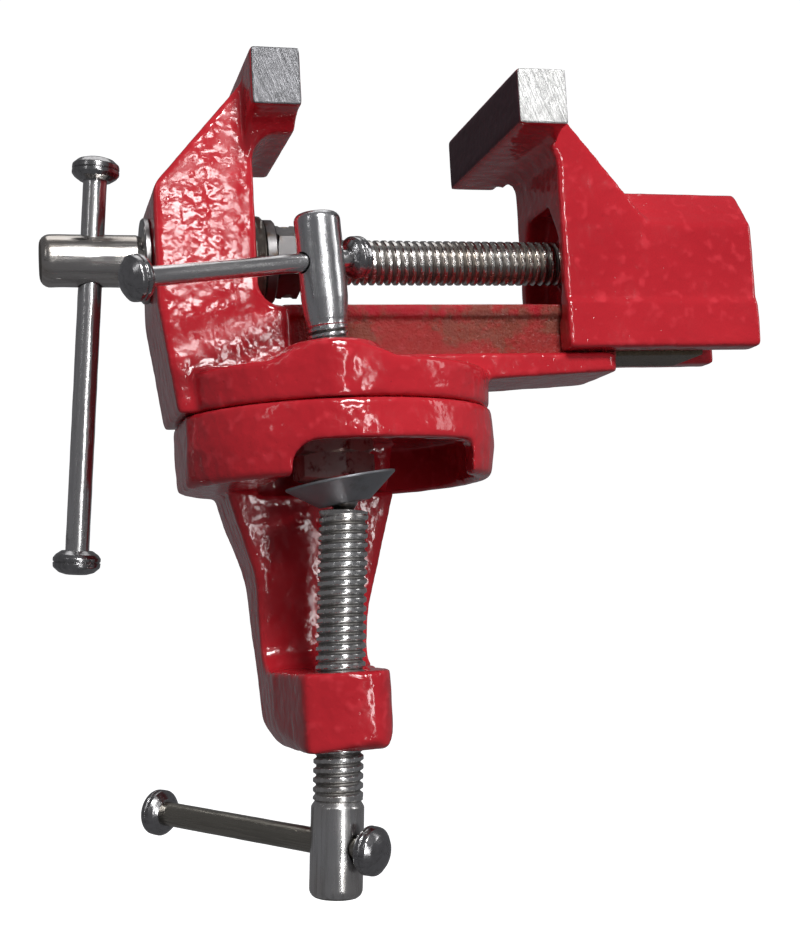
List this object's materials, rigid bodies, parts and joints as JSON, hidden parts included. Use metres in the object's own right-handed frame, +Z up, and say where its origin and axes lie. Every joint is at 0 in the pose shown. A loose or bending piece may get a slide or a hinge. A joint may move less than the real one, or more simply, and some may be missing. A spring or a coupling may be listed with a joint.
{
  "type": "bench vise",
  "caption": "Small clamp-on bench vise with a swivel base: red cast jaws on a rail, a main screw with a sliding tommy bar, a swivel lock screw and a screw clamp for the table edge.",
  "frame": {"origin": "on the swivel axis, in the plane of the base rim that rests on the table top", "axes": "+Z up along the swivel axis, +X along the main screw from its handle to the moving jaw, +Y across the jaws, away from the clamp screw"},
  "size_m": [0.191, 0.0999, 0.2068],
  "materials": {
    "frame_enamel": "thick gloss red enamel on sand-cast iron",
    "fixed_jaw_enamel": "thick gloss red enamel, pitted and hammered, bare filed jaw ends",
    "moving_jaw_enamel": "thick gloss red enamel, bare filed jaw ends",
    "screw_nickel": "nickel plate over rough-turned steel",
    "bar_nickel": "nickel plate over drawn rod",
    "bar_gunmetal": "dark worn plate over drawn rod",
    "knob_nickel": "nickel plate, upset ends",
    "washer_steel": "zinc plated steel",
    "pivot_steel": "bare steel with overspray",
    "nut_iron": "as cast and bored",
    "pad_zinc": "matt grey pressed cup"
  },
  "bodies": {
    "clamp_base": {"clamp_frame": "frame_enamel"},
    "swivel_body": {"fixed_jaw_body": "fixed_jaw_enamel", "pivot_stud": "pivot_steel", "pivot_nut": "pivot_steel", "pivot_locknut": "pivot_steel"},
    "sliding_jaw": {"moving_jaw": "moving_jaw_enamel", "lead_nut": "nut_iron"},
    "jaw_screw": {"main_screw": "screw_nickel", "outer_washer": "washer_steel", "inner_washer": "washer_steel", "collar_nut": "washer_steel", "collar_pin": "washer_steel"},
    "jaw_bar": {"main_bar": "bar_nickel", "main_bar_knob_a": "knob_nickel", "main_bar_knob_b": "knob_nickel"},
    "lock_foot": {"lock_shoe": "washer_steel"},
    "swivel_lock": {"lock_screw": "screw_nickel"},
    "swivel_lock_bar": {"lock_bar": "bar_nickel", "lock_bar_knob_a": "knob_nickel", "lock_bar_knob_b": "knob_nickel"},
    "pad_carrier": {"pad_ball": "screw_nickel"},
    "table_screw": {"clamp_screw": "screw_nickel"},
    "table_pad": {"cup_pad": "pad_zinc"},
    "table_bar": {"clamp_bar": "bar_gunmetal", "clamp_bar_knob_a": "knob_nickel", "clamp_bar_knob_b": "knob_nickel"}
  },
  "joints": [
    {"name": "swivel", "type": "hinge", "parent": "clamp_base", "child": "swivel_body", "pos_m": [0, 0, 0.018], "axis": [0, 0, 1], "continuous": true},
    {"name": "jaw_slide", "type": "slide", "parent": "swivel_body", "child": "sliding_jaw", "axis": [1, 0, 0], "range_m": [-0.0563, 0.01]},
    {"name": "screw_turn", "type": "hinge", "parent": "swivel_body", "child": "jaw_screw", "pos_m": [-0.03, 0, 0.06], "axis": [1, 0, 0], "range_deg": [-1640, 9216]},
    {"name": "main_bar_slide", "type": "slide", "parent": "jaw_screw", "child": "jaw_bar", "axis": [0.078, -0.087, 0.9931], "range_m": [-0.0128, 0.0663]},
    {"name": "lock_travel", "type": "slide", "parent": "swivel_body", "child": "lock_foot", "axis": [-0.0644, -0.0696, 0.9955], "range_m": [0, 0.000667]},
    {"name": "lock_turn", "type": "hinge", "parent": "lock_foot", "child": "swivel_lock", "pos_m": [-0.0056, -0.03, 0.0185], "axis": [-0.0644, -0.0696, 0.9955], "range_deg": [0, 161]},
    {"name": "lock_bar_slide", "type": "slide", "parent": "swivel_lock", "child": "swivel_lock_bar", "axis": [0.9065, 0.3848, 0.1736], "range_m": [-0.0016, 0.02]},
    {"name": "clamp_travel", "type": "slide", "parent": "clamp_base", "child": "pad_carrier", "axis": [0.0732, 0, 0.9973], "range_m": [-0.036, 0.004]},
    {"name": "clamp_turn", "type": "hinge", "parent": "pad_carrier", "child": "table_screw", "pos_m": [-0.0044, -0.029, -0.0052], "axis": [0.0732, 0, 0.9973], "range_deg": [-5895, 656]},
    {"name": "pad_tilt", "type": "hinge", "parent": "pad_carrier", "child": "table_pad", "pos_m": [-0.0044, -0.029, -0.0052], "axis": [0, 1, 0], "range_deg": [-1.5, 22]},
    {"name": "clamp_bar_slide", "type": "slide", "parent": "table_screw", "child": "table_bar", "axis": [0.659, -0.7449, -0.1045], "range_m": [-0.0003, 0.0464]}
  ],
  "couplings": [
    {"joint": "screw_turn", "follows": "jaw_slide", "rad_per_m": -2856},
    {"joint": "lock_turn", "follows": "lock_travel", "rad_per_m": 4188.8},
    {"joint": "clamp_turn", "follows": "clamp_travel", "rad_per_m": 2856}
  ]
}
